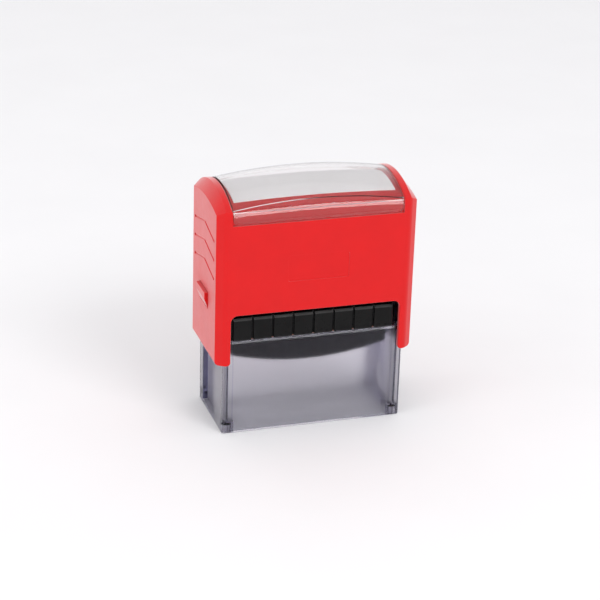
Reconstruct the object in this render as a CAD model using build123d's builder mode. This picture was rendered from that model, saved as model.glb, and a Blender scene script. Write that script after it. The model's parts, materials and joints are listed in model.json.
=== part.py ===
"""Self inking stamp: a spring loaded cap over a clear base frame, with a flip-over platen between them.

Millimetres. The origin is on the table, at the middle of the base. X runs along the length, -Y is the
front and +Z is up. The stamp stands at rest: cap up, die face up against the ink pad.
"""

import os
from math import cos, hypot, pi, sin, sqrt

from build123d import *

os.makedirs("parts", exist_ok=True)

# Overall sizes
WIDTH = 73.0
DEPTH = 35.5
TRAVEL = 25.0

# Cap housing
END_FACE_DEPTH = 30.8
BEVEL_X = 2.9
CAP_BOTTOM = 27.4
END_SHOULDER_Z = 83.7
END_CROWN_Z = 85.8
RIM_SHOULDER_Z = 85.3
RIM_CROWN_Z = 89.9
END_WALL = 1.5
FRONT_WALL = 1.6
CEILING_Z = 82.6
BOSS_RADIUS = 3.0
BOSS_X = 20.0

# Windows in the front and back of the cap, through which the ink cartridge leaves
WINDOW_HALF = 31.3
WINDOW_TOP = 46.4
WINDOW_CORNER = 2.5

# Top deck and the rebates that take the clear cover
DECK_HALF = 31.2
DECK_CROWN_Z = 88.7
DECK_RADIUS_Y = 40.0
DECK_RADIUS_X = 480.0
DECK_EDGE_Y = 15.3
REBATE_Y = 16.5
REBATE_BOTTOM = 80.0
LEDGE_Z = 84.0
INNER_HALF_HIGH = 14.6
HIGH_CAVITY_Z = 78.0

# Clear cover
COVER_GAP = 0.3
COVER_WALL = 1.1
COVER_REST_GAP = 0.15
COVER_CROWN_Z = 92.8
COVER_RADIUS_Y = 31.1
COVER_RADIUS_X = 185.0
COVER_EDGE_Y = 16.6
CHEEK_FOOT_Y = 16.75
SHOULDER_LOW_Z = 84.0
SHOULDER_HIGH_Z = 85.45
SHOULDER_UNDERCUT = 0.15
SHOULDER_RADIUS_X = 620.0
SKIRT_PLAY = 0.075
SKIRT_TOP = 83.2
SKIRT_BOTTOM = 80.2
SKIRT_CORNER = 2.0
LIP_TOP = 80.95
LIP_PROUD = 0.22
LIP_CHAMFER = 0.3

# Index card
CARD_LENGTH = 58.8
CARD_DEPTH = 23.5
CARD_THICKNESS = 0.25
CARD_GAP = 0.03

# Base frame
FRAME_LENGTH = 67.0
FRAME_DEPTH = 31.6
FRAME_HEIGHT = 35.5
FRAME_BOTTOM = 0.25
FRAME_WALL_Y = 1.5
FRAME_INNER_X = 31.2
CHANNEL_FLOOR_X = 31.7
WEB_INNER_X = 29.7
CHANNEL_FRONT_Y = -4.0
CHANNEL_BACK_Y = 10.8
CHANNEL_BOTTOM = 1.5
CHANNEL_TOP = 33.5
WEB_FRONT_Y = -7.5
WEB_BACK_Y = 12.6
POCKET_IN = 31.9
POCKET_OUT = 33.0
POCKET_TOP = 33.5
POCKET_FLOOR = 5.0
FRONT_POCKET_Y = (-14.6, -4.9)
BACK_POCKET_Y = (12.3, 14.6)
EAR_HALF = 12.0
EAR_TOP = 44.6
EAR_ROOT = 1.0

# Feet in the frame's four corners
FOOT_X = 31.2
FOOT_Y = 13.5
FOOT_BOSS_RADIUS = 2.25
FOOT_BOSS_TOP = 4.3
FOOT_RADIUS = 1.5
FOOT_PEG_TOP = 3.0

# Bridge that carries the return spring, on top of the frame's ears
BRIDGE_TOP = 46.6
POST_RADIUS = 3.8
POST_WALL = 1.2
POST_TOP = 54.3

# Yoke that hangs from the cap and carries the platen
YOKE_PLATE_TOP = 82.0
YOKE_PLATE_BOTTOM = 80.0
YOKE_INNER_X = 32.0
YOKE_OUTER_X = 33.5
YOKE_HALF = 3.6
YOKE_GAP = 0.4
YOKE_BOTTOM = 27.5
YOKE_PLATE_HALF = 9.0
SEAT_RING_HEIGHT = 3.0
SEAT_RING_WALL = 1.3
SEAT_RING_GAP = 0.4

# Return spring
SPRING_RADIUS = 5.6
SPRING_WIRE = 0.5
SPRING_TURNS = 7

# Platen: pivot height at rest, and the stack on it measured from the pivot
FACE_FROM_PIVOT = 5.15
PIVOT_Z = TRAVEL + FACE_FROM_PIVOT
PLATEN_HALF_X = 29.0
PLATEN_HALF_Y = 10.4
PLATE_LOW = 1.0
PLATE_HIGH = 2.5
RIB_OUTER_Y = 9.8
RIB_THICKNESS = 1.5
CROSS_RIB_PITCH = 14.5
CROSS_RIB_THICKNESS = 1.2
CROSS_RIB_LOW = 2.8
CHEEK_THICKNESS = 1.6
BELLY_MIDDLE = 6.15
BELLY_END = 2.05
FOAM_TOP = 3.4
DIE_BASE_TOP = 4.4
DIE_HALF_X = 28.6
DIE_HALF_Y = 10.4
DIE_BORDER_X = 54.0
DIE_BORDER_Y = 18.0
DIE_BORDER_LINE = 0.8
DIE_BAR_X = 44.0
DIE_BAR_Y = 1.9
DIE_BAR_PITCH = 3.9
PIN_RADIUS = 1.6
PIN_GRIP = 5.0
PIN_BOSS_LENGTH = 6.0
PIN_BOSS_WALL = 0.8
PIN_CLEARANCE = 0.05
SLOT_CLEARANCE = 0.15
CAM_RADIUS = 1.2
CAM_OFFSET = 4.6
CAM_CLEARANCE = 0.2
CAM_TIP_X = 30.7
CAM_GROOVE_X = 30.9
GROOVE_STEPS = 12
FLIP_PER_MM = pi / TRAVEL

# Ink cartridge
TRAY_HALF_X = 30.1
TRAY_HALF_Y = 14.9
TRAY_BOTTOM = 35.6
TRAY_TOP = 43.9
TRAY_SIDE_WALL = 0.9
TRAY_OPENING_Y = 12.4
PAD_FACE_Z = 36.2
PAD_BACK_Z = 41.9
PAD_GAP = 0.1
GRIP_COUNT = 8
GRIP_PITCH = 7.5
GRIP_GROOVE = 0.8
GRIP_DEPTH = 1.2

# Lock buttons in the cap's ends
LOCK_HALF = 5.8
LOCK_GAP = 0.25
LOCK_PROUD = 1.3
LOCK_STEP_Z = 48.6
LOCK_FLANGE_RIM = 0.9
LOCK_FLANGE_GAP = 0.05
LOCK_LOW = 44.8
LOCK_HIGH = 51.4
LOCK_FLANGE_IN = 34.45
LOCK_TIP_X = 31.95
LOCK_TIP_HALF = 1.4
LOCK_TIP_LOW = 47.0
LOCK_TIP_HIGH = 49.4
LOCK_HOLE_GAP = 0.4

# Chevron grooves in the end faces
CHEVRON_PEAKS = (76.2, 69.2, 62.2)
CHEVRON_HALF = 12.6
CHEVRON_DROP = 2.9
CHEVRON_WIDTH = 0.9
CHEVRON_DEPTH = 0.3
CHEVRON_TAPER = 45
CHEVRON_PIT = 0.6

# Blank name plate sunk into the cap's front
PLATE_X = 0.3
PLATE_Z = 62.6
PLATE_LENGTH = 22.4
PLATE_HEIGHT = 9.7
PLATE_CORNER = 1.0
PLATE_DEPTH = 0.2

# Softened edges
CORNER_ROUNDING = 3.0
LEG_ROUNDING = 1.2
RIM_FILLET = 0.5
LEG_FILLET = 1.2
WINDOW_FILLET = 0.3
END_FILLET = 0.3
FRAME_CORNER_FILLET = 0.7
FRAME_EDGE_INSET = 0.4
FRAME_EDGE_DROP = 0.65
GRIP_TOP_INSET = 0.5
GRIP_TOP_DROP = 0.8
GRIP_SIDE_FILLET = 0.3
LOCK_FILLET = 0.3

# Reach of cutting blocks past everything they cut, and the least length of an end face's outer edges
PAST = 100.0
LONG_EDGE = 20.0

HALF_WIDTH = WIDTH / 2
HALF_DEPTH = DEPTH / 2
RIM_X = HALF_WIDTH - BEVEL_X
CAVITY_X = HALF_WIDTH - END_WALL
CAVITY_Y = HALF_DEPTH - FRONT_WALL
COVER_HALF = DECK_HALF - COVER_GAP
SKIRT_INNER_Y = REBATE_Y + SKIRT_PLAY
SKIRT_OUTER_Y = HALF_DEPTH - SKIRT_PLAY
SIDES = {"left": -1, "right": 1}


def keep(part, label):
    """Label a finished part and write it under its own name."""
    part.label = label
    export_step(part, f"parts/{label}.step")


def near(value, target):
    """True for a coordinate that lies at the target, on either side of the middle."""
    return abs(abs(value) - target) < 0.05


def block(x, y, z):
    """A plain box between limits, as a loose solid for add()."""
    size = (x[1] - x[0], y[1] - y[0], z[1] - z[0])
    middle = ((x[0] + x[1]) / 2, (y[0] + y[1]) / 2, (z[0] + z[1]) / 2)
    return Pos(*middle) * Box(*size, mode=Mode.PRIVATE)


def arched_face(half_depth, bottom, shoulder, crown):
    """Upright outline with a flat base and straight sides under one arc (x is Y, y is Z)."""
    with BuildSketch() as face:
        with BuildLine():
            Polyline(
                (-half_depth, shoulder),
                (-half_depth, bottom),
                (half_depth, bottom),
                (half_depth, shoulder),
            )
            ThreePointArc((-half_depth, shoulder), (0, crown), (half_depth, shoulder))
        make_face()
    return face.sketch


def pillow(profile, crown, radius_x):
    """Turn an upright outline about a far axis along Y, so that its top bows along X as well."""
    with BuildPart() as body:
        with BuildSketch(Plane.YZ):
            add(profile)
        revolve(axis=Axis((0, 0, crown - radius_x), (0, 1, 0)))
    return body.part


def deck_profile(rise):
    """Outline of the arched deck, lifted by rise."""
    radius = DECK_RADIUS_Y + rise
    crown = DECK_CROWN_Z + rise
    shoulder = crown - radius + sqrt(radius**2 - HALF_DEPTH**2)
    return arched_face(HALF_DEPTH, REBATE_BOTTOM, shoulder, crown)


def deck_pillow(rise):
    """Solid under the arched deck, lifted by rise."""
    return pillow(deck_profile(rise), DECK_CROWN_Z + rise, DECK_RADIUS_X + rise)


def cover_profile(inset):
    """Cheeks and arched top of the cover, moved inwards by inset."""
    radius = COVER_RADIUS_Y - inset
    edge_y = COVER_EDGE_Y - inset
    foot_y = CHEEK_FOOT_Y - inset
    crown = COVER_CROWN_Z - inset
    edge_z = crown - radius + sqrt(radius**2 - edge_y**2)
    with BuildSketch() as face:
        with BuildLine():
            Polyline(
                (-edge_y, edge_z),
                (-foot_y, LEDGE_Z),
                (-foot_y, 0),
                (foot_y, 0),
                (foot_y, LEDGE_Z),
                (edge_y, edge_z),
            )
            ThreePointArc((-edge_y, edge_z), (0, crown), (edge_y, edge_z))
        make_face()
    return face.sketch


def both_sides(*outline):
    """Closed outline at the back and its mirror image at the front (x is Y, y is Z)."""
    with BuildSketch() as faces:
        Polygon(*outline, align=None)
        Polygon(*[(-y, z) for y, z in reversed(outline)], align=None)
    return faces.sketch


def edge_cut(y, z, inset, drop):
    """Wedges that take the long top edges, at y and z, off both sides of a part."""
    with BuildPart() as wedges:
        with BuildSketch(Plane.YZ.offset(-HALF_WIDTH)):
            add(both_sides((y - inset, z), (y, z - drop), (y + inset, z - drop), (y + inset, z + drop)))
        extrude(amount=WIDTH)
    return wedges.part


def cam_point(turn):
    """Centre of the cam pin, as (y, z), when the platen has turned by turn radians."""
    return CAM_OFFSET * cos(turn), PIVOT_Z - turn / FLIP_PER_MM + CAM_OFFSET * sin(turn)


def cam_groove_face():
    """Outline of the cam groove: open at the top, and as wide as the pin and its clearance all along."""
    half = CAM_RADIUS + CAM_CLEARANCE
    back, front = [], []
    for step in range(GROOVE_STEPS + 1):
        turn = pi * step / GROOVE_STEPS
        y, z = cam_point(turn)
        run_y = -CAM_OFFSET * sin(turn)
        run_z = -1 / FLIP_PER_MM + CAM_OFFSET * cos(turn)
        across_y = -run_z / hypot(run_y, run_z) * half
        across_z = run_y / hypot(run_y, run_z) * half
        back.append((y + across_y, z + across_z))
        front.append((y - across_y, z - across_z))
    top = FRAME_HEIGHT + 2
    foot = (-CAM_OFFSET, PIVOT_Z - TRAVEL - half)
    with BuildSketch() as face:
        with BuildLine():
            Spline(*back, tangents=[(0, -1), (0, -1)])
            ThreePointArc(back[-1], foot, front[-1])
            Spline(*reversed(front), tangents=[(0, 1), (0, 1)])
            Polyline(front[0], (front[0][0], top), (back[0][0], top), back[0])
        make_face()
    return face.sketch


def lock_button(side):
    """Lock button: a wedge proud of the cap's end, a flange behind it and a tip that goes through the yoke."""
    flange_out = CAVITY_X - LOCK_FLANGE_GAP
    low, high = LOCK_LOW + LOCK_GAP, LOCK_HIGH - LOCK_GAP
    flange_y = (-LOCK_HALF - LOCK_FLANGE_RIM, LOCK_HALF + LOCK_FLANGE_RIM)
    flange_z = (LOCK_LOW - LOCK_FLANGE_RIM, LOCK_HIGH + LOCK_FLANGE_RIM)
    tip_y = (-LOCK_TIP_HALF, LOCK_TIP_HALF)
    with BuildPart() as button:
        with BuildSketch(Plane.XZ.offset(-LOCK_HALF + LOCK_GAP)):
            Polygon(
                (flange_out, low),
                (HALF_WIDTH, low),
                (HALF_WIDTH + LOCK_PROUD, LOCK_STEP_Z),
                (HALF_WIDTH + LOCK_PROUD, high),
                (flange_out, high),
                align=None,
            )
        extrude(amount=2 * (LOCK_HALF - LOCK_GAP))
        proud_edges = edges().group_by(Axis.X)[-1]
        fillet(proud_edges, LOCK_FILLET)
        add(block((LOCK_FLANGE_IN, flange_out), flange_y, flange_z))
        add(block((LOCK_TIP_X, LOCK_FLANGE_IN), tip_y, (LOCK_TIP_LOW, LOCK_TIP_HIGH)))
    if side < 0:
        return mirror(button.part, Plane.YZ)
    return button.part


# Cap housing -------------------------------------------------------------------------------------
rim_face = arched_face(HALF_DEPTH, CAP_BOTTOM, RIM_SHOULDER_Z, RIM_CROWN_Z)
end_face = arched_face(END_FACE_DEPTH / 2, CAP_BOTTOM, END_SHOULDER_Z, END_CROWN_Z)
deck_cut = block((-DECK_HALF, DECK_HALF), (-PAST, PAST), (REBATE_BOTTOM, PAST))
deck_core = deck_pillow(0) & block((-PAST, PAST), (-DECK_EDGE_Y, DECK_EDGE_Y), (REBATE_BOTTOM, PAST))
deck_step = block((-PAST, PAST), (-REBATE_Y, REBATE_Y), (REBATE_BOTTOM, LEDGE_Z))

with BuildPart() as upper_housing:
    with BuildSketch(Plane.YZ.offset(-RIM_X)):
        add(rim_face)
    extrude(amount=2 * RIM_X)
    for side in SIDES.values():
        with BuildSketch(Plane.YZ.offset(side * RIM_X)):
            add(rim_face)
        with BuildSketch(Plane.YZ.offset(side * HALF_WIDTH)):
            add(end_face)
        loft(ruled=True)
    # Rounded upright edges where the bevels meet the front and back
    with BuildSketch():
        Polygon(
            *[(x * RIM_X, y * HALF_DEPTH) for x, y in ((-1, -1), (1, -1))],
            *[(HALF_WIDTH, y * END_FACE_DEPTH / 2) for y in (-1, 1)],
            *[(x * RIM_X, y * HALF_DEPTH) for x, y in ((1, 1), (-1, 1))],
            *[(-HALF_WIDTH, y * END_FACE_DEPTH / 2) for y in (1, -1)],
            align=None,
        )
        fillet(vertices().filter_by(lambda v: near(v.Y, HALF_DEPTH)), CORNER_ROUNDING)
    extrude(amount=RIM_CROWN_Z, mode=Mode.INTERSECT)
    # Rounded feet of the four legs
    with BuildSketch(Plane.XZ.offset(-DEPTH)):
        with Locations((0, (CAP_BOTTOM + 2 * RIM_CROWN_Z) / 2)):
            RectangleRounded(WIDTH, 2 * RIM_CROWN_Z - CAP_BOTTOM, LEG_ROUNDING)
    extrude(amount=2 * DEPTH, mode=Mode.INTERSECT)
    add(deck_cut - deck_core - deck_step, mode=Mode.SUBTRACT)
    # Cavity: wide where the frame rides, narrower above it, under the deck
    cavity_low = block((-CAVITY_X, CAVITY_X), (-CAVITY_Y, CAVITY_Y), (0, HIGH_CAVITY_Z))
    cavity_high = block((-CAVITY_X, CAVITY_X), (-INNER_HALF_HIGH, INNER_HALF_HIGH), (0, CEILING_Z))
    add(cavity_low, mode=Mode.SUBTRACT)
    add(cavity_high, mode=Mode.SUBTRACT)
    # Bosses under the deck that the yoke's plate stands against
    for x in (-BOSS_X, BOSS_X):
        with BuildSketch(Plane.XY.offset(YOKE_PLATE_TOP)):
            with Locations((x, 0)):
                Circle(BOSS_RADIUS)
        extrude(amount=CEILING_Z - YOKE_PLATE_TOP)
    # Windows through the front and the back
    with BuildSketch(Plane.XZ.offset(-DEPTH)):
        with Locations((0, WINDOW_TOP / 2)):
            Rectangle(2 * WINDOW_HALF, WINDOW_TOP)
        fillet(vertices().group_by(Axis.Y)[-1], WINDOW_CORNER)
    extrude(amount=2 * DEPTH, mode=Mode.SUBTRACT)
    # Softened edges of the legs, the rims, the windows and the end faces
    leg_ends = edges().filter_by(Axis.Y).filter_by(lambda e: near(e.center().X, WINDOW_HALF))
    fillet(leg_ends.filter_by(lambda e: near(e.center().Z, CAP_BOTTOM)), LEG_FILLET)
    fillet(edges().filter_by(lambda e: near(e.center().X, DECK_HALF) and e.length > DEPTH), RIM_FILLET)
    window_sides = edges().filter_by(Axis.Z).filter_by(lambda e: near(e.center().X, WINDOW_HALF))
    window_top = edges().filter_by(Axis.X).filter_by(lambda e: near(e.center().Z, WINDOW_TOP))
    window_rim = (window_sides + window_top).filter_by(lambda e: near(e.center().Y, HALF_DEPTH))
    fillet(window_rim.filter_by(lambda e: e.center().Z < HIGH_CAVITY_Z), WINDOW_FILLET)
    fillet(edges().filter_by(lambda e: near(e.center().X, HALF_WIDTH) and e.length > LONG_EDGE), END_FILLET)
    for side in SIDES.values():
        for peak in CHEVRON_PEAKS:
            foot_z = peak - CHEVRON_DROP
            with BuildSketch(Plane.YZ.offset(side * HALF_WIDTH)):
                with BuildLine():
                    Polyline((-CHEVRON_HALF, foot_z), (0, peak), (CHEVRON_HALF, foot_z))
                trace(line_width=CHEVRON_WIDTH)
            extrude(amount=-side * CHEVRON_DEPTH, taper=CHEVRON_TAPER, mode=Mode.SUBTRACT)
            with BuildSketch(Plane.YZ.offset(side * HALF_WIDTH)):
                with Locations((-CHEVRON_HALF, foot_z), (CHEVRON_HALF, foot_z)):
                    Circle(CHEVRON_PIT)
            extrude(amount=-side * CHEVRON_DEPTH, mode=Mode.SUBTRACT)
        lock_hole = block((RIM_X, PAST), (-LOCK_HALF, LOCK_HALF), (LOCK_LOW, LOCK_HIGH))
        add(lock_hole if side > 0 else mirror(lock_hole, Plane.YZ), mode=Mode.SUBTRACT)

    # Blank name plate
    with BuildSketch(Plane.XZ.offset(HALF_DEPTH)):
        with Locations((PLATE_X, PLATE_Z)):
            RectangleRounded(PLATE_LENGTH, PLATE_HEIGHT, PLATE_CORNER)
    extrude(amount=-PLATE_DEPTH, mode=Mode.SUBTRACT)

# Clear cover over the index card ----------------------------------------------------------------
cover_x = (-COVER_HALF, COVER_HALF)
cover_dome = pillow(cover_profile(0), COVER_CROWN_Z, COVER_RADIUS_X)
cover_hollow = pillow(
    cover_profile(COVER_WALL), COVER_CROWN_Z - COVER_WALL, COVER_RADIUS_X - COVER_WALL
)
recessed_y = SKIRT_OUTER_Y - LIP_PROUD
shoulder_outline = both_sides(
    (REBATE_Y, SKIRT_TOP - 1),
    (recessed_y, SKIRT_TOP - 1),
    (recessed_y, SHOULDER_LOW_Z - SHOULDER_UNDERCUT),
    (SKIRT_OUTER_Y, SHOULDER_LOW_Z),
    (CHEEK_FOOT_Y, SHOULDER_HIGH_Z),
    (REBATE_Y, SHOULDER_HIGH_Z),
)
shoulder = pillow(shoulder_outline, SHOULDER_HIGH_Z, SHOULDER_RADIUS_X)
skirt_outline = both_sides(
    (REBATE_Y, SKIRT_BOTTOM),
    (SKIRT_OUTER_Y - LIP_CHAMFER, SKIRT_BOTTOM),
    (SKIRT_OUTER_Y, SKIRT_BOTTOM + LIP_CHAMFER),
    (SKIRT_OUTER_Y, LIP_TOP),
    (recessed_y, LIP_TOP + LIP_CHAMFER),
    (recessed_y, SKIRT_TOP),
    (REBATE_Y, SKIRT_TOP),
)

with BuildPart() as clear_cover:
    add(cover_dome & block(cover_x, (-PAST, PAST), (SKIRT_TOP, PAST)))
    add(shoulder & block(cover_x, (-PAST, PAST), (SKIRT_BOTTOM, PAST)))
    with BuildSketch(Plane.YZ.offset(-COVER_HALF)):
        add(skirt_outline)
    extrude(amount=2 * COVER_HALF)
    add(cover_hollow, mode=Mode.SUBTRACT)
    add(
        block((-PAST, PAST), (-SKIRT_INNER_Y, SKIRT_INNER_Y), (0, LEDGE_Z + COVER_REST_GAP)),
        mode=Mode.SUBTRACT,
    )
    # Rounded lower corners of the skirts
    with BuildSketch(Plane.XZ.offset(-DEPTH)):
        with Locations((0, COVER_CROWN_Z)):
            RectangleRounded(2 * COVER_HALF, 2 * (COVER_CROWN_Z - SKIRT_BOTTOM), SKIRT_CORNER)
    extrude(amount=2 * DEPTH, mode=Mode.INTERSECT)

# Index card ---------------------------------------------------------------------------------------
card_box = block(
    (-CARD_LENGTH / 2, CARD_LENGTH / 2), (-CARD_DEPTH / 2, CARD_DEPTH / 2), (REBATE_BOTTOM, PAST)
)
with BuildPart() as index_card:
    add((deck_pillow(CARD_GAP + CARD_THICKNESS) - deck_pillow(CARD_GAP)) & card_box)

# Base frame ---------------------------------------------------------------------------------------
with BuildPart() as base_frame:
    with BuildSketch(Plane.XY.offset(FRAME_BOTTOM)):
        Rectangle(FRAME_LENGTH, FRAME_DEPTH)
        Rectangle(
            2 * FRAME_INNER_X, FRAME_DEPTH - 2 * FRAME_WALL_Y, mode=Mode.SUBTRACT
        )
    extrude(amount=FRAME_HEIGHT - FRAME_BOTTOM)
    # Pockets that thin the end walls beside the channels
    for side in SIDES.values():
        pocket_x = sorted((side * POCKET_IN, side * POCKET_OUT))
        add(block(pocket_x, FRONT_POCKET_Y, (0, POCKET_TOP)), mode=Mode.SUBTRACT)
        add(block(pocket_x, BACK_POCKET_Y, (POCKET_FLOOR, PAST)), mode=Mode.SUBTRACT)
    # Bosses for the feet
    with BuildSketch(Plane.XY.offset(FRAME_BOTTOM)):
        with GridLocations(2 * FOOT_X, 2 * FOOT_Y, 2, 2):
            Circle(FOOT_BOSS_RADIUS)
    extrude(amount=FOOT_BOSS_TOP - FRAME_BOTTOM)
    for side in SIDES.values():
        x_in = sorted((side * WEB_INNER_X, side * FRAME_INNER_X))
        x_out = sorted((side * CHANNEL_FLOOR_X, side * PAST))
        x_ear = sorted((side * FRAME_INNER_X, side * FRAME_LENGTH / 2))
        x_slot = sorted((0, side * PAST))
        # Web that stands in from the end wall behind the channel
        add(block(x_in, (WEB_FRONT_Y, WEB_BACK_Y), (FRAME_BOTTOM, FRAME_HEIGHT)))
        # Ears that carry the bridge
        add(block(x_ear, (-EAR_HALF, EAR_HALF), (FRAME_HEIGHT - EAR_ROOT, EAR_TOP)))
        # Channel in which the yoke's leg runs
        add(
            block(x_out, (CHANNEL_FRONT_Y, CHANNEL_BACK_Y), (CHANNEL_BOTTOM, CHANNEL_TOP)),
            mode=Mode.SUBTRACT,
        )
        yoke_slot = (-YOKE_HALF - YOKE_GAP, YOKE_HALF + YOKE_GAP)
        add(block(x_out, yoke_slot, (CHANNEL_TOP - EAR_ROOT, PAST)), mode=Mode.SUBTRACT)
        slot_half = PIN_RADIUS + SLOT_CLEARANCE
        add(
            block(x_slot, (-slot_half, slot_half), (PIVOT_Z - TRAVEL, PAST)),
            mode=Mode.SUBTRACT,
        )
        with BuildSketch(Plane.YZ.offset(side * WEB_INNER_X)):
            with Locations((0, PIVOT_Z - TRAVEL)):
                Circle(slot_half)
        extrude(amount=side * PAST, mode=Mode.SUBTRACT)
        # Cam groove that turns the platen over as it goes down
        with BuildSketch(Plane.YZ.offset(side * CAM_GROOVE_X)):
            add(cam_groove_face())
        extrude(amount=-side * CAM_GROOVE_X, mode=Mode.SUBTRACT)
    # Sockets for the feet
    with BuildSketch(Plane.XY):
        with GridLocations(2 * FOOT_X, 2 * FOOT_Y, 2, 2):
            Circle(FOOT_RADIUS)
    extrude(amount=FOOT_PEG_TOP, mode=Mode.SUBTRACT)
    # Softened outer edges
    half_length, half_depth = FRAME_LENGTH / 2, FRAME_DEPTH / 2
    corners = edges().filter_by(Axis.Z).filter_by(lambda e: near(e.center().X, half_length))
    fillet(corners.filter_by(lambda e: near(e.center().Y, half_depth)), FRAME_CORNER_FILLET)
    add(edge_cut(half_depth, FRAME_HEIGHT, FRAME_EDGE_INSET, FRAME_EDGE_DROP), mode=Mode.SUBTRACT)

# Feet ---------------------------------------------------------------------------------------------
feet = {
    "foot_front_left": (-FOOT_X, -FOOT_Y),
    "foot_front_right": (FOOT_X, -FOOT_Y),
    "foot_back_left": (-FOOT_X, FOOT_Y),
    "foot_back_right": (FOOT_X, FOOT_Y),
}
for foot_name, foot_place in feet.items():
    with BuildPart() as foot:
        with BuildSketch(Plane.XY):
            with Locations(foot_place):
                Circle(FOOT_RADIUS)
        extrude(amount=FOOT_PEG_TOP)
    keep(foot.part, foot_name)

# Spring bridge ------------------------------------------------------------------------------------
with BuildPart() as spring_bridge:
    add(block((-FRAME_LENGTH / 2, FRAME_LENGTH / 2), (-EAR_HALF, EAR_HALF), (EAR_TOP, BRIDGE_TOP)))
    for side in SIDES.values():
        notch_x = sorted((side * CHANNEL_FLOOR_X, side * PAST))
        add(block(notch_x, yoke_slot, (0, PAST)), mode=Mode.SUBTRACT)
    with BuildSketch(Plane.XY.offset(BRIDGE_TOP)):
        Circle(POST_RADIUS)
        Circle(POST_RADIUS - POST_WALL, mode=Mode.SUBTRACT)
    extrude(amount=POST_TOP - BRIDGE_TOP)

# Yoke ---------------------------------------------------------------------------------------------
with BuildPart() as yoke:
    add(
        block(
            (-YOKE_OUTER_X, YOKE_OUTER_X),
            (-YOKE_PLATE_HALF, YOKE_PLATE_HALF),
            (YOKE_PLATE_BOTTOM, YOKE_PLATE_TOP),
        )
    )
    seat_radius = SPRING_RADIUS + SPRING_WIRE + SEAT_RING_GAP
    with BuildSketch(Plane.XY.offset(YOKE_PLATE_BOTTOM)):
        Circle(seat_radius + SEAT_RING_WALL)
        Circle(seat_radius, mode=Mode.SUBTRACT)
    extrude(amount=-SEAT_RING_HEIGHT)
    for side in SIDES.values():
        leg_x = sorted((side * YOKE_INNER_X, side * YOKE_OUTER_X))
        add(block(leg_x, (-YOKE_HALF, YOKE_HALF), (YOKE_BOTTOM, YOKE_PLATE_BOTTOM)))
        with BuildSketch(Plane.YZ):
            with Locations((0, PIVOT_Z)):
                Circle(PIN_RADIUS + PIN_CLEARANCE)
            with Locations((0, (LOCK_TIP_LOW + LOCK_TIP_HIGH) / 2)):
                Rectangle(
                    2 * LOCK_TIP_HALF + 2 * LOCK_HOLE_GAP,
                    LOCK_TIP_HIGH - LOCK_TIP_LOW + 2 * LOCK_HOLE_GAP,
                )
        extrude(amount=side * PAST, mode=Mode.SUBTRACT)

# Return spring ------------------------------------------------------------------------------------
spring_low = BRIDGE_TOP + SPRING_WIRE
spring_high = YOKE_PLATE_BOTTOM - SPRING_WIRE
spring_height = spring_high - spring_low
with BuildPart() as return_spring:
    with BuildLine() as coil:
        Helix(
            pitch=spring_height / SPRING_TURNS,
            height=spring_height,
            radius=SPRING_RADIUS,
            center=(0, 0, spring_low),
        )
    with BuildSketch(Plane(origin=coil.line @ 0, z_dir=coil.line % 0)):
        Circle(SPRING_WIRE)
    sweep(is_frenet=True)

# Platen -------------------------------------------------------------------------------------------
with BuildPart() as platen:
    add(
        block(
            (-PLATEN_HALF_X, PLATEN_HALF_X),
            (-PLATEN_HALF_Y, PLATEN_HALF_Y),
            (PIVOT_Z + PLATE_LOW, PIVOT_Z + PLATE_HIGH),
        )
    )
    for y in (-RIB_OUTER_Y, RIB_OUTER_Y - RIB_THICKNESS):
        with BuildSketch(Plane.XZ.offset(-y)):
            with BuildLine():
                Polyline(
                    (-PLATEN_HALF_X, PIVOT_Z - BELLY_END),
                    (-PLATEN_HALF_X, PIVOT_Z + PLATE_LOW),
                    (PLATEN_HALF_X, PIVOT_Z + PLATE_LOW),
                    (PLATEN_HALF_X, PIVOT_Z - BELLY_END),
                )
                ThreePointArc(
                    (-PLATEN_HALF_X, PIVOT_Z - BELLY_END),
                    (0, PIVOT_Z - BELLY_MIDDLE),
                    (PLATEN_HALF_X, PIVOT_Z - BELLY_END),
                )
            make_face()
        extrude(amount=-RIB_THICKNESS)
    for x in (-CROSS_RIB_PITCH, 0, CROSS_RIB_PITCH):
        rib_x = (x - CROSS_RIB_THICKNESS / 2, x + CROSS_RIB_THICKNESS / 2)
        add(block(rib_x, (-RIB_OUTER_Y, RIB_OUTER_Y), (PIVOT_Z - CROSS_RIB_LOW, PIVOT_Z + PLATE_LOW)))
    for side in SIDES.values():
        cheek_in = PLATEN_HALF_X - CHEEK_THICKNESS
        cheek_x = sorted((side * cheek_in, side * PLATEN_HALF_X))
        add(
            block(
                cheek_x,
                (-RIB_OUTER_Y, RIB_OUTER_Y),
                (PIVOT_Z - BELLY_END, PIVOT_Z + PLATE_LOW),
            )
        )
        with BuildSketch(Plane.YZ.offset(side * (PLATEN_HALF_X - PIN_BOSS_LENGTH))):
            with Locations((0, PIVOT_Z)):
                Circle(PIN_RADIUS + PIN_BOSS_WALL)
        extrude(amount=side * PIN_BOSS_LENGTH)
        with BuildSketch(Plane.YZ.offset(side * cheek_in)):
            with Locations((CAM_OFFSET, PIVOT_Z)):
                Circle(CAM_RADIUS)
        extrude(amount=side * (CAM_TIP_X - cheek_in))
        with BuildSketch(Plane.YZ.offset(side * (PLATEN_HALF_X - PIN_GRIP))):
            with Locations((0, PIVOT_Z)):
                Circle(PIN_RADIUS)
        extrude(amount=side * PIN_GRIP, mode=Mode.SUBTRACT)

for side_name, side in SIDES.items():
    with BuildPart() as pivot_pin:
        with BuildSketch(Plane.YZ.offset(side * (PLATEN_HALF_X - PIN_GRIP))):
            with Locations((0, PIVOT_Z)):
                Circle(PIN_RADIUS)
        extrude(amount=side * (YOKE_OUTER_X - PLATEN_HALF_X + PIN_GRIP))
    keep(pivot_pin.part, f"pivot_pin_{side_name}")

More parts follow.
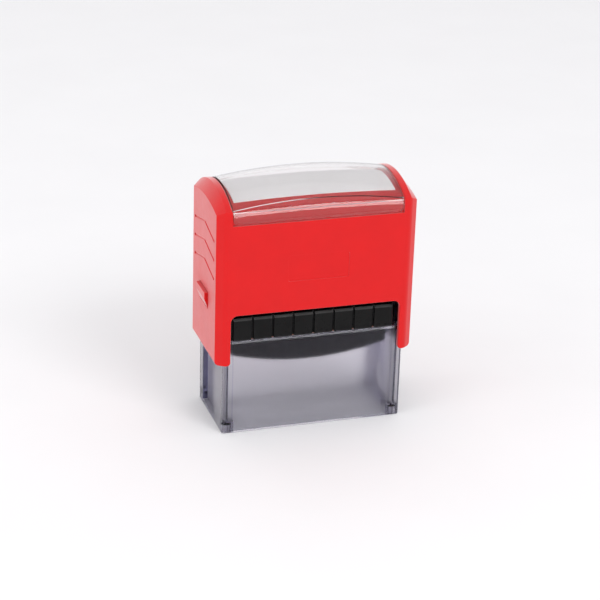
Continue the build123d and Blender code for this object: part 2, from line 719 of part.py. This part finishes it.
# Cushion and die ----------------------------------------------------------------------------------
with BuildPart() as cushion_foam:
    with BuildSketch(Plane.XY.offset(PIVOT_Z + PLATE_HIGH)):
        Rectangle(2 * DIE_HALF_X, 2 * DIE_HALF_Y)
    extrude(amount=FOAM_TOP - PLATE_HIGH)

with BuildPart() as rubber_die:
    with BuildSketch(Plane.XY.offset(PIVOT_Z + FOAM_TOP)):
        Rectangle(2 * DIE_HALF_X, 2 * DIE_HALF_Y)
    extrude(amount=DIE_BASE_TOP - FOAM_TOP)
    with BuildSketch(Plane.XY.offset(PIVOT_Z + DIE_BASE_TOP)):
        Rectangle(DIE_BORDER_X, DIE_BORDER_Y)
        Rectangle(DIE_BORDER_X - 2 * DIE_BORDER_LINE, DIE_BORDER_Y - 2 * DIE_BORDER_LINE, mode=Mode.SUBTRACT)
        with GridLocations(0, DIE_BAR_PITCH, 1, 3):
            Rectangle(DIE_BAR_X, DIE_BAR_Y)
    extrude(amount=FACE_FROM_PIVOT - DIE_BASE_TOP)

# Ink cartridge ------------------------------------------------------------------------------------
with BuildPart() as ink_cartridge:
    add(block((-TRAY_HALF_X, TRAY_HALF_X), (-TRAY_HALF_Y, TRAY_HALF_Y), (TRAY_BOTTOM, TRAY_TOP)))
    tray_inner_x = TRAY_HALF_X - TRAY_SIDE_WALL
    add(
        block(
            (-tray_inner_x, tray_inner_x), (-TRAY_OPENING_Y, TRAY_OPENING_Y), (0, PAD_BACK_Z)
        ),
        mode=Mode.SUBTRACT,
    )
    for y in (-TRAY_HALF_Y, TRAY_HALF_Y):
        with BuildSketch(Plane.XY.offset(TRAY_BOTTOM)):
            with Locations((0, y)):
                with GridLocations(GRIP_PITCH, 0, GRIP_COUNT + 1, 1):
                    Rectangle(GRIP_GROOVE, 2 * GRIP_DEPTH)
        extrude(amount=TRAY_TOP - TRAY_BOTTOM, mode=Mode.SUBTRACT)
    fillet(edges().filter_by(Axis.Z).filter_by(lambda e: near(e.center().Y, TRAY_HALF_Y)), GRIP_SIDE_FILLET)
    add(edge_cut(TRAY_HALF_Y, TRAY_TOP, GRIP_TOP_INSET, GRIP_TOP_DROP), mode=Mode.SUBTRACT)

with BuildPart() as ink_pad:
    pad_x = tray_inner_x - PAD_GAP
    pad_y = TRAY_OPENING_Y - PAD_GAP
    add(block((-pad_x, pad_x), (-pad_y, pad_y), (PAD_FACE_Z, PAD_BACK_Z)))

for side_name, side in SIDES.items():
    keep(lock_button(side), f"lock_button_{side_name}")

for label, piece in {
    "upper_housing": upper_housing,
    "clear_cover": clear_cover,
    "index_card": index_card,
    "base_frame": base_frame,
    "spring_bridge": spring_bridge,
    "yoke": yoke,
    "return_spring": return_spring,
    "platen": platen,
    "cushion_foam": cushion_foam,
    "rubber_die": rubber_die,
    "ink_cartridge": ink_cartridge,
    "ink_pad": ink_pad,
}.items():
    keep(piece.part, label)
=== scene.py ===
import json
from math import cos, pi, sin, tau

import bmesh
import bpy
from mathutils import Matrix, Vector, noise


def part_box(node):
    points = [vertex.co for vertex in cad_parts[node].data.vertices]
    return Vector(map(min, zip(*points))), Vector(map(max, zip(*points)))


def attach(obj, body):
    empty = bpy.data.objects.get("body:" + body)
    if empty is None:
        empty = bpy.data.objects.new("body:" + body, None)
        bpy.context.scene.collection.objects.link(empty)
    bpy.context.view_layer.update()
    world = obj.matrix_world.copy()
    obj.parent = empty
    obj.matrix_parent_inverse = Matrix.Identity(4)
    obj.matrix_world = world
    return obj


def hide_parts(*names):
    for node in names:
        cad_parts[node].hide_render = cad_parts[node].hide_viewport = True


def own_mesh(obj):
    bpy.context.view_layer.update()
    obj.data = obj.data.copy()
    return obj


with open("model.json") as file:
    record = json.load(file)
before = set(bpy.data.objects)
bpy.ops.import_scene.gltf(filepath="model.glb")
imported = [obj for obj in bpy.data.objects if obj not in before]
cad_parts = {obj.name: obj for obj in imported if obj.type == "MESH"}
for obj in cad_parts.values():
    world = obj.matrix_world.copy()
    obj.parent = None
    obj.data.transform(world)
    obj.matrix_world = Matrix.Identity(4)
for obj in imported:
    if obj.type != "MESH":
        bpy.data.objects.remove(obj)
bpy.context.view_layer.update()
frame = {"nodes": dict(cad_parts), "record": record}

scene = bpy.context.scene
scene.view_settings.view_transform = "Standard"

MM = 0.001

# Camera: it looks at the stamp's front and left end from a little above
CAMERA_PLACE = Vector((-0.20837, -0.63920, 0.33202))
CAMERA_AZIMUTH = -0.314342
CAMERA_ELEVATION = 0.406937
CAMERA_ROLL = 0.0324864
LENS = 121.6

# Brightness of the studio's walls behind and in front of the stamp, and its ceiling's share of it
SKY_BACK = 0.95
SKY_FRONT = 1.22
SKY_ZENITH = 0.6

# The red plastic drifts faintly between two shades
RED = (0.58, 0.006, 0.007)
RED_DRIFT = (0.62, 0.006, 0.007)

# Base frame. Every face nearer the middle plane than FROSTED_WITHIN_Y is frosted: the inner faces of the
# front and back walls are, and so are the ends, but not the outer faces of those walls
FROSTED_WITHIN_Y = 14.6 * MM
# Its faces that get painted shade, a darker base colour: the back walls of the end channels, and the webs'
# inner faces
CHANNEL_BACK_Y = 10.8 * MM
CHANNEL_REACH_X = 31.6 * MM
WEB_INNER_X = 29.7 * MM
PLANE_TOLERANCE = 0.06 * MM

# Return spring
SPRING_WIRE = 0.5 * MM
SPRING_TURNS = 6.0

# Point that the soft lights face
STAMP_MIDDLE = Vector((0, 0, 45 * MM))

# Floor: half its width, and how far it lies under the feet
FLOOR_REACH = 6.0
FLOOR_DROP = 0.02 * MM


# ---------------------------------------------------------------------------------------------- shaders
class Shader:
    """A node material under construction: a Principled shader and short calls for what feeds it."""

    def __init__(self, name, **values):
        self.material = bpy.data.materials.new(name)
        self.material.use_nodes = True
        self.nodes = self.material.node_tree.nodes
        self.links = self.material.node_tree.links
        self.bsdf = self.nodes["Principled BSDF"]
        self.coords = self.nodes.new("ShaderNodeTexCoord").outputs["Object"]
        for socket, value in values.items():
            self.set(socket.replace("_", " "), value)

    def set(self, socket, value):
        """Give a socket of the Principled shader a value, or feed it from a node's output."""
        target = self.bsdf.inputs[socket]
        if isinstance(value, bpy.types.NodeSocket):
            self.links.new(value, target)
        else:
            target.default_value = value

    def stretch(self, scale):
        """Object coordinates with a separate scale for each axis."""
        mapping = self.nodes.new("ShaderNodeMapping")
        mapping.inputs["Scale"].default_value = scale
        self.links.new(self.coords, mapping.inputs["Vector"])
        return mapping.outputs["Vector"]

    def noise(self, size, detail=3.0, roughness=0.5, coords=None, distortion=0.0):
        """Noise whose blotches are about size metres across."""
        node = self.nodes.new("ShaderNodeTexNoise")
        node.inputs["Scale"].default_value = 1.0 / size
        node.inputs["Detail"].default_value = detail
        node.inputs["Roughness"].default_value = roughness
        node.inputs["Distortion"].default_value = distortion
        self.links.new(coords or self.coords, node.inputs["Vector"])
        return node.outputs["Fac"]

    def cells(self, size):
        """Distance to the nearest of a cloud of points about size metres apart."""
        node = self.nodes.new("ShaderNodeTexVoronoi")
        node.inputs["Scale"].default_value = 1.0 / size
        self.links.new(self.coords, node.inputs["Vector"])
        return node.outputs["Distance"]

    def spread(self, factor, low, high, start=0.3, end=0.7):
        """Map a factor between start and end to values between low and high."""
        node = self.nodes.new("ShaderNodeMapRange")
        node.inputs["From Min"].default_value = start
        node.inputs["From Max"].default_value = end
        node.inputs["To Min"].default_value = low
        node.inputs["To Max"].default_value = high
        self.links.new(factor, node.inputs["Value"])
        return node.outputs["Result"]

    def math(self, operation, *values):
        """Result of a sum, product or comparison of values and outputs."""
        node = self.nodes.new("ShaderNodeMath")
        node.operation = operation
        for socket, value in zip(node.inputs, values):
            if isinstance(value, bpy.types.NodeSocket):
                self.links.new(value, socket)
            else:
                socket.default_value = value
        return node.outputs["Value"]

    def blend(self, factor, first, second):
        """Mix two colours, given as values or as outputs, by a factor."""
        node = self.nodes.new("ShaderNodeMix")
        node.data_type = "RGBA"
        self.links.new(factor, node.inputs["Factor"])
        for socket, value in zip(("A", "B"), (first, second)):
            target = [i for i in node.inputs if i.name == socket and i.type == "RGBA"][0]
            if isinstance(value, bpy.types.NodeSocket):
                self.links.new(value, target)
            else:
                target.default_value = (*value, 1.0)
        return [o for o in node.outputs if o.type == "RGBA"][0]

    def wear_and_highlight_edges(self, radius):
        """Factor that rises to 1 within a radius of the edges and is 0 on open faces."""
        rounded = self.nodes.new("ShaderNodeBevel")
        rounded.samples = 4
        rounded.inputs["Radius"].default_value = radius
        geometry = self.nodes.new("ShaderNodeNewGeometry")
        agreement = self.nodes.new("ShaderNodeVectorMath")
        agreement.operation = "DOT_PRODUCT"
        self.links.new(rounded.outputs["Normal"], agreement.inputs[0])
        self.links.new(geometry.outputs["Normal"], agreement.inputs[1])
        return self.spread(agreement.outputs["Value"], 1.0, 0.0, 0.75, 0.97)

    def bump(self, height, depth, below=None):
        """Bump of a height field whose full range is depth metres."""
        node = self.nodes.new("ShaderNodeBump")
        node.inputs["Distance"].default_value = depth
        node.inputs["Strength"].default_value = 1.0
        self.links.new(height, node.inputs["Height"])
        if below is not None:
            self.links.new(below, node.inputs["Normal"])
        self.set("Normal", node.outputs["Normal"])
        return node.outputs["Normal"]

    def absorb(self, colour, density):
        """Tint that grows with the thickness of the clear plastic."""
        node = self.nodes.new("ShaderNodeVolumeAbsorption")
        node.inputs["Color"].default_value = (*colour, 1.0)
        node.inputs["Density"].default_value = density
        output = self.nodes["Material Output"]
        self.links.new(node.outputs["Volume"], output.inputs["Volume"])


def moulded(name, colour, second, rough, grain, grain_depth, specular, sheen=0.0, wear_and_highlight=0.5, edge=None):
    """Injection moulded plastic: drift between two shades, edges lighter for wear and painted highlight,
    uneven gloss, fine grain, softly waved faces.
    """
    s = Shader(name, Specular_IOR_Level=specular, Sheen_Weight=sheen, Sheen_Roughness=0.35)
    drift = s.noise(9 * MM, 4.0, 0.55)
    tint = s.blend(s.spread(drift, 0.0, 1.0), second, colour)
    # Edges lighter than the faces: partly wear, and where a light edge colour is given (the ink cartridge) a
    # painted highlight
    light = edge or tuple(min(1.0, c * 1.15 + 0.03) for c in colour)
    s.set("Base Color", s.blend(s.math("MULTIPLY", s.wear_and_highlight_edges(0.35 * MM), wear_and_highlight), tint, light))
    gloss = s.math("ADD", s.noise(2.2 * MM, 5.0, 0.6), s.noise(14 * MM, 2.0))
    s.set("Roughness", s.spread(gloss, rough - 0.06, rough + 0.06, 0.7, 1.3))
    waves = s.bump(s.noise(11 * MM, 1.0), 0.05 * MM)
    s.bump(s.noise(grain, 2.0), grain_depth, waves)
    return s.material


def clear(name, tint, rough, ior, colour, density, shine, wave, frosted=None, painted_shade_planes=()):
    """Clear plastic with flow lines and slight haze.

    frosted is an added roughness and the distance from the middle in Y within which it holds. Each of
    painted_shade_planes is an axis, the face's place on it, the least distance from the middle in X, and the
    colour of painted shade on that face.
    """
    s = Shader(name, Transmission_Weight=1.0, IOR=ior, Specular_Tint=(*shine, 1.0))
    drift = s.noise(12 * MM, 3.0)
    base = s.blend(s.spread(drift, 0.0, 1.0), tuple(c * 0.985 for c in tint), tint)
    gloss = s.spread(s.noise(7 * MM, 3.0), rough * 0.8, rough * 1.3)
    axes = s.nodes.new("ShaderNodeSeparateXYZ")
    s.links.new(s.coords, axes.inputs["Vector"])
    along_x = s.math("ABSOLUTE", axes.outputs["X"], 0.0)
    # Painted shade: faces on the listed planes get a darker base colour
    for axis, place, reach, painted_shade in painted_shade_planes:
        coordinate = axes.outputs["Y"] if axis == "Y" else along_x
        on_plane = s.math("COMPARE", coordinate, place, PLANE_TOLERANCE)
        beyond = s.math("GREATER_THAN", along_x, reach)
        base = s.blend(s.math("MULTIPLY", on_plane, beyond), base, painted_shade)
    s.set("Base Color", base)
    if frosted:
        added_rough, depth = frosted
        inside = s.math("LESS_THAN", s.math("ABSOLUTE", axes.outputs["Y"], 0.0), depth)
        gloss = s.math("ADD", gloss, s.math("MULTIPLY", inside, added_rough))
    s.set("Roughness", gloss)
    flow = s.noise(8 * MM, 1.0, 0.5, s.stretch((0.5, 1.0, 1.4)))
    s.bump(flow, wave)
    s.absorb(colour, density)
    return s.material


def drawn_steel(name, rough):
    """Bright steel with fine drawing marks."""
    s = Shader(name, Metallic=1.0)
    marks = s.noise(0.35 * MM, 4.0, 0.7)
    s.set("Base Color", s.blend(s.spread(marks, 0.0, 1.0), (0.46, 0.46, 0.48), (0.62, 0.62, 0.64)))
    s.set("Roughness", s.spread(s.noise(0.9 * MM, 4.0), rough * 0.7, rough * 1.4))
    s.bump(marks, 0.01 * MM)
    return s.material


def paper(name):
    """Smooth white card with faint fibres and clouding."""
    s = Shader(name, Specular_IOR_Level=0.25)
    cloud = s.noise(4 * MM, 4.0, 0.6)
    fibre = s.noise(0.5 * MM, 4.0, 0.7, s.stretch((0.35, 1.0, 1.0)), 0.6)
    base = s.blend(s.spread(cloud, 0.0, 1.0), (0.925, 0.92, 0.915), (0.95, 0.945, 0.94))
    s.set("Base Color", s.blend(s.spread(fibre, 0.0, 0.3), base, (0.88, 0.88, 0.87)))
    s.set("Roughness", s.spread(cloud, 0.62, 0.78))
    s.bump(fibre, 0.012 * MM)
    return s.material


def rubber(name, colour, pale, rough=0.6):
    """Soft rubber with a powdery bloom."""
    s = Shader(name, Specular_IOR_Level=0.35)
    bloom = s.noise(2.5 * MM, 5.0, 0.65)
    s.set("Base Color", s.blend(s.spread(bloom, 0.0, 1.0, 0.4, 0.75), colour, pale))
    s.set("Roughness", s.spread(bloom, rough - 0.08, rough + 0.15))
    s.bump(s.noise(0.25 * MM, 3.0), 0.02 * MM)
    return s.material


def foam_rubber(name):
    """Closed-cell foam: small open cells cut through at the faces, their pits darkened with painted shade."""
    s = Shader(name, Specular_IOR_Level=0.2, Roughness=0.9)
    cells = s.cells(0.42 * MM)
    painted_pit_shade = s.spread(cells, 0.0, 1.0, 0.05, 0.5)
    # Painted shade: the pits of the cut cells are darker than their rims
    s.set("Base Color", s.blend(painted_pit_shade, (0.055, 0.06, 0.07), (0.17, 0.18, 0.20)))
    s.bump(cells, 0.10 * MM)
    return s.material


def felt(name):
    """Felt soaked in dark ink: tangled fibres, wet in patches."""
    s = Shader(name, Specular_IOR_Level=0.5)
    fibre = s.noise(0.35 * MM, 6.0, 0.75, None, 1.4)
    wet = s.noise(4.5 * MM, 3.0)
    s.set("Base Color", s.blend(s.spread(fibre, 0.0, 1.0), (0.004, 0.005, 0.02), (0.018, 0.022, 0.075)))
    s.set("Roughness", s.spread(wet, 0.35, 0.85, 0.35, 0.65))
    s.bump(fibre, 0.14 * MM)
    return s.material


materials = {
    "red_cap": moulded(
        "red_plastic", RED, RED_DRIFT, 0.36, 0.32 * MM, 0.006 * MM, specular=0.2, sheen=0.7, wear_and_highlight=0.35
    ),
    "red_button": moulded(
        "red_button_plastic", RED, RED_DRIFT, 0.34, 0.3 * MM, 0.006 * MM, specular=0.22, sheen=0.7
    ),
    "black_plastic": moulded(
        "black_plastic", (0.011, 0.011, 0.013), (0.007, 0.007, 0.009), 0.44, 0.3 * MM, 0.01 * MM, specular=0.2
    ),
    "black_yoke": moulded(
        "black_yoke_plastic", (0.012, 0.012, 0.014), (0.008, 0.008, 0.01), 0.4, 0.3 * MM, 0.01 * MM,
        specular=0.2,
    ),
    "black_platen": moulded(
        "black_platen_plastic", (0.006, 0.006, 0.008), (0.004, 0.004, 0.006), 0.42, 0.3 * MM, 0.01 * MM,
        specular=0.08, wear_and_highlight=0.15,
    ),
    # Painted highlight: the cartridge's edges and rib tops are painted light grey
    "black_cartridge": moulded(
        "black_cartridge_plastic", (0.007, 0.007, 0.007), (0.004, 0.004, 0.004), 0.30, 0.35 * MM, 0.008 * MM,
        specular=0.12, wear_and_highlight=0.8, edge=(0.11, 0.11, 0.115),
    ),
    "clear_frame": clear(
        "smoke_clear_plastic", tint=(0.99, 0.985, 0.995), rough=0.04, ior=1.49,
        colour=(0.26, 0.24, 0.45), density=115.0, shine=(0.42, 0.42, 0.46), wave=0.010 * MM,
        frosted=(0.30, FROSTED_WITHIN_Y),
        # Painted shade on the back walls of the end channels and on the webs' inner faces
        painted_shade_planes=(
            ("Y", CHANNEL_BACK_Y, CHANNEL_REACH_X, (0.06, 0.06, 0.13)),
            ("X", WEB_INNER_X, 0.0, (0.52, 0.50, 0.64)),
        ),
    ),
    "clear_cover": clear(
        "clear_plastic", tint=(0.995, 0.99, 0.995), rough=0.03, ior=1.42,
        colour=(0.5, 0.4, 0.5), density=4.0, shine=(1, 1, 1), wave=0.002 * MM,
    ),
    "foot": rubber("foot_rubber", (0.52, 0.50, 0.60), (0.66, 0.64, 0.72)),
    "spring_steel": drawn_steel("spring_wire", 0.22),
    "pin_steel": drawn_steel("pin_metal", 0.32),
    "card": paper("index_card_paper"),
    "die_rubber": rubber("die_rubber_red_brown", (0.34, 0.13, 0.08), (0.46, 0.24, 0.16), 0.55),
    "foam": foam_rubber("cushion_foam_cells"),
    "ink_felt": felt("ink_felt_fibres"),
}

for part in frame["record"]["subparts"]:
    node = frame["nodes"][part["node"]]
    node.data.materials.clear()
    node.data.materials.append(materials[part["material_slot"]])


# ------------------------------------------------------------------------------------- new pieces
def finished(name, mesh_data, slot, body, *nodes):
    """Link a mesh as a piece that takes a material slot, rides on a body and stands for CAD nodes."""
    piece = bpy.data.objects.new(name, mesh_data)
    scene.collection.objects.link(piece)
    mesh_data.materials.append(materials[slot])
    mesh_data.shade_smooth()
    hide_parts(*nodes)
    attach(piece, body)
    return piece


def coil_mesh(name, place, radius, wire, turns, low, high, end_turns=0.75, around=12, per_turn=40):
    """Round wire wound into a compression spring with closed ends."""
    total = turns + 2 * end_turns
    steps = int(total * per_turn)
    rings = []
    mesh = bmesh.new()
    closed_rise = 2.05 * wire

    def height(turn):
        """Centre height of the wire: closed turns at both ends, with an even rise between them."""
        span = high - low - 2 * wire - 2 * closed_rise * end_turns
        if turn < end_turns:
            return low + wire + closed_rise * turn
        if turn > total - end_turns:
            return high - wire - closed_rise * (total - turn)
        return low + wire + closed_rise * end_turns + span * (turn - end_turns) / turns

    for step in range(steps + 1):
        turn = total * step / steps
        angle = tau * turn
        centre = Vector((place.x + radius * cos(angle), place.y + radius * sin(angle), height(turn)))
        outward = Vector((cos(angle), sin(angle), 0))
        rings.append([
            mesh.verts.new(centre + wire * (outward * cos(a) + Vector((0, 0, 1)) * sin(a)))
            for a in (tau * k / around for k in range(around))
        ])
    for first, second in zip(rings, rings[1:]):
        for k in range(around):
            nxt = (k + 1) % around
            mesh.faces.new((first[k], second[k], second[nxt], first[nxt]))
    mesh.faces.new(list(reversed(rings[0])))
    mesh.faces.new(rings[-1])
    bmesh.ops.recalc_face_normals(mesh, faces=mesh.faces)
    data = bpy.data.meshes.new(name)
    mesh.to_mesh(data)
    mesh.free()
    return data


def pad_mesh(name, low, high, edge, crown, waist, uneven, cuts):
    """Soft pad: rounded edges, faces crowned in the middle, sides drawn in and uneven top and bottom."""
    mesh = bmesh.new()
    bmesh.ops.create_cube(mesh, size=1.0)
    bmesh.ops.subdivide_edges(mesh, edges=mesh.edges, cuts=cuts, use_grid_fill=True)
    middle = (low + high) / 2
    half = (high - low) / 2
    core = half - Vector((edge, edge, edge))
    for vert in mesh.verts:
        # Closer rows near the edges, where the rounding is
        unit = Vector([sin(pi * c) for c in vert.co])
        place = Vector([u * h for u, h in zip(unit, half)])
        inner = Vector([max(-c, min(c, p)) for c, p in zip(core, place)])
        outward = place - inner
        if outward.length > 0:
            place = inner + outward.normalized() * edge
        towards_edge = max(abs(unit.x), abs(unit.y)) ** 6
        place.z *= 1 - crown * towards_edge / half.z
        drawn_in = waist * (1 - unit.z * unit.z)
        place.x -= drawn_in * unit.x ** 5
        place.y -= drawn_in * unit.y ** 5
        ripple = noise.noise(place / (2.2 * MM)) + 0.5 * noise.noise(place / (0.9 * MM))
        place.z -= uneven * abs(ripple) * unit.z
        vert.co = middle + place
    data = bpy.data.meshes.new(name)
    mesh.to_mesh(data)
    mesh.free()
    return data


# Ink pad: felt pressed into the cartridge's tray, crowned where it meets the die
pad_low, pad_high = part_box("ink_pad")
felt_mesh = pad_mesh(
    "ink_pad_felt", pad_low, pad_high,
    edge=0.5 * MM, crown=0.25 * MM, waist=0.12 * MM, uneven=0.10 * MM, cuts=31,
)
felt_pad = finished("ink_pad_felt", felt_mesh, "ink_felt", "cartridge", "ink_pad")

# Cushion between the platen's plate and the rubber die
foam_low, foam_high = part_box("cushion_foam")
foam_mesh = pad_mesh(
    "cushion_foam_pad", foam_low, foam_high,
    edge=0.25 * MM, crown=0.0, waist=0.22 * MM, uneven=0.02 * MM, cuts=39,
)
foam_pad = finished("cushion_foam_pad", foam_mesh, "foam", "platen", "cushion_foam")

# Return spring between the bridge and the yoke's plate: it rides on the frame at the length of its CAD part,
# though the real one closes up as the cap goes down
spring_low, spring_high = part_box("return_spring")
spring_axis = (spring_low + spring_high) / 2
spring_radius = (spring_high.x - spring_low.x) / 2 - SPRING_WIRE
spring_mesh = coil_mesh(
    "return_spring_coil", spring_axis, spring_radius, SPRING_WIRE, SPRING_TURNS, spring_low.z, spring_high.z
)
spring = finished("return_spring_coil", spring_mesh, "spring_steel", "frame", "return_spring")
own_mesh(spring)

# ------------------------------------------------------------------------------------ floor and light
floor_shader = Shader("floor_paper", Roughness=0.75, Specular_IOR_Level=0.15)
clouding = floor_shader.spread(floor_shader.noise(50 * MM, 3.0), 0.0, 1.0)
floor_shader.set("Base Color", floor_shader.blend(clouding, (0.868, 0.872, 0.880), (0.882, 0.886, 0.894)))
floor_mesh = bpy.data.meshes.new("floor")
corners = [(FLOOR_REACH * x, FLOOR_REACH * y, 0) for x, y in ((-1, -1), (1, -1), (1, 1), (-1, 1))]
floor_mesh.from_pydata(corners, [], [(0, 1, 2, 3)])
floor = bpy.data.objects.new("floor", floor_mesh)
scene.collection.objects.link(floor)
floor_mesh.materials.append(floor_shader.material)
floor.location.z = -FLOOR_DROP

world = bpy.data.worlds.new("studio")
scene.world = world
world.use_nodes = True
world_nodes = world.node_tree.nodes
world_links = world.node_tree.links
backdrop = world_nodes["Background"]
backdrop.inputs["Color"].default_value = (1.0, 0.985, 1.0, 1.0)
heading = world_nodes.new("ShaderNodeTexCoord")
axes = world_nodes.new("ShaderNodeSeparateXYZ")
world_links.new(heading.outputs["Generated"], axes.inputs["Vector"])


def sky_step(axis, start, end, low, high):
    """Brightness of the studio that goes from low to high along one axis of the direction."""
    step = world_nodes.new("ShaderNodeMapRange")
    step.interpolation_type = "SMOOTHSTEP"
    step.inputs["From Min"].default_value = start
    step.inputs["From Max"].default_value = end
    step.inputs["To Min"].default_value = low
    step.inputs["To Max"].default_value = high
    world_links.new(axes.outputs[axis], step.inputs["Value"])
    return step.outputs["Result"]


# White walls all round the stamp under a dimmer ceiling
brightness = world_nodes.new("ShaderNodeMath")
brightness.operation = "MULTIPLY"
world_links.new(sky_step("Y", -0.75, 0.1, SKY_FRONT, SKY_BACK), brightness.inputs[0])
world_links.new(sky_step("Z", 0.6, 0.9, 1.0, SKY_ZENITH), brightness.inputs[1])
world_links.new(brightness.outputs["Value"], backdrop.inputs["Strength"])


def softbox(name, place, width, height, power):
    """Rectangular soft light that faces the stamp's middle."""
    light = bpy.data.lights.new(name, "AREA")
    light.shape = "RECTANGLE"
    light.size = width
    light.size_y = height
    light.energy = power
    lamp = bpy.data.objects.new(name, light)
    scene.collection.objects.link(lamp)
    lamp.location = place
    lamp.rotation_euler = (STAMP_MIDDLE - Vector(place)).to_track_quat("-Z", "Y").to_euler()


# The edge light stands where the dome's shoulder and the sloped top edges mirror it to the camera
softbox("left_light", (-1.2, -0.2, 0.6), width=1.2, height=0.9, power=4.5)
softbox("top_light", (0.1, 0.3, 1.4), width=1.2, height=1.0, power=1.0)
softbox("edge_light", (0.31, -0.82, 0.74), width=0.44, height=0.32, power=3.6)

# --------------------------------------------------------------------------------------------- camera
back = Vector((
    sin(CAMERA_AZIMUTH) * cos(CAMERA_ELEVATION),
    -cos(CAMERA_AZIMUTH) * cos(CAMERA_ELEVATION),
    sin(CAMERA_ELEVATION),
))
level = Vector((cos(CAMERA_AZIMUTH), sin(CAMERA_AZIMUTH), 0))
upright = back.cross(level)
right = cos(CAMERA_ROLL) * level + sin(CAMERA_ROLL) * upright
up = -sin(CAMERA_ROLL) * level + cos(CAMERA_ROLL) * upright
camera = bpy.data.objects.new("camera", bpy.data.cameras.new("camera"))
scene.collection.objects.link(camera)
camera.data.lens = LENS
camera.data.clip_start = 0.01
camera.matrix_world = Matrix.Translation(CAMERA_PLACE) @ Matrix((right, up, back)).transposed().to_4x4()
scene.camera = camera
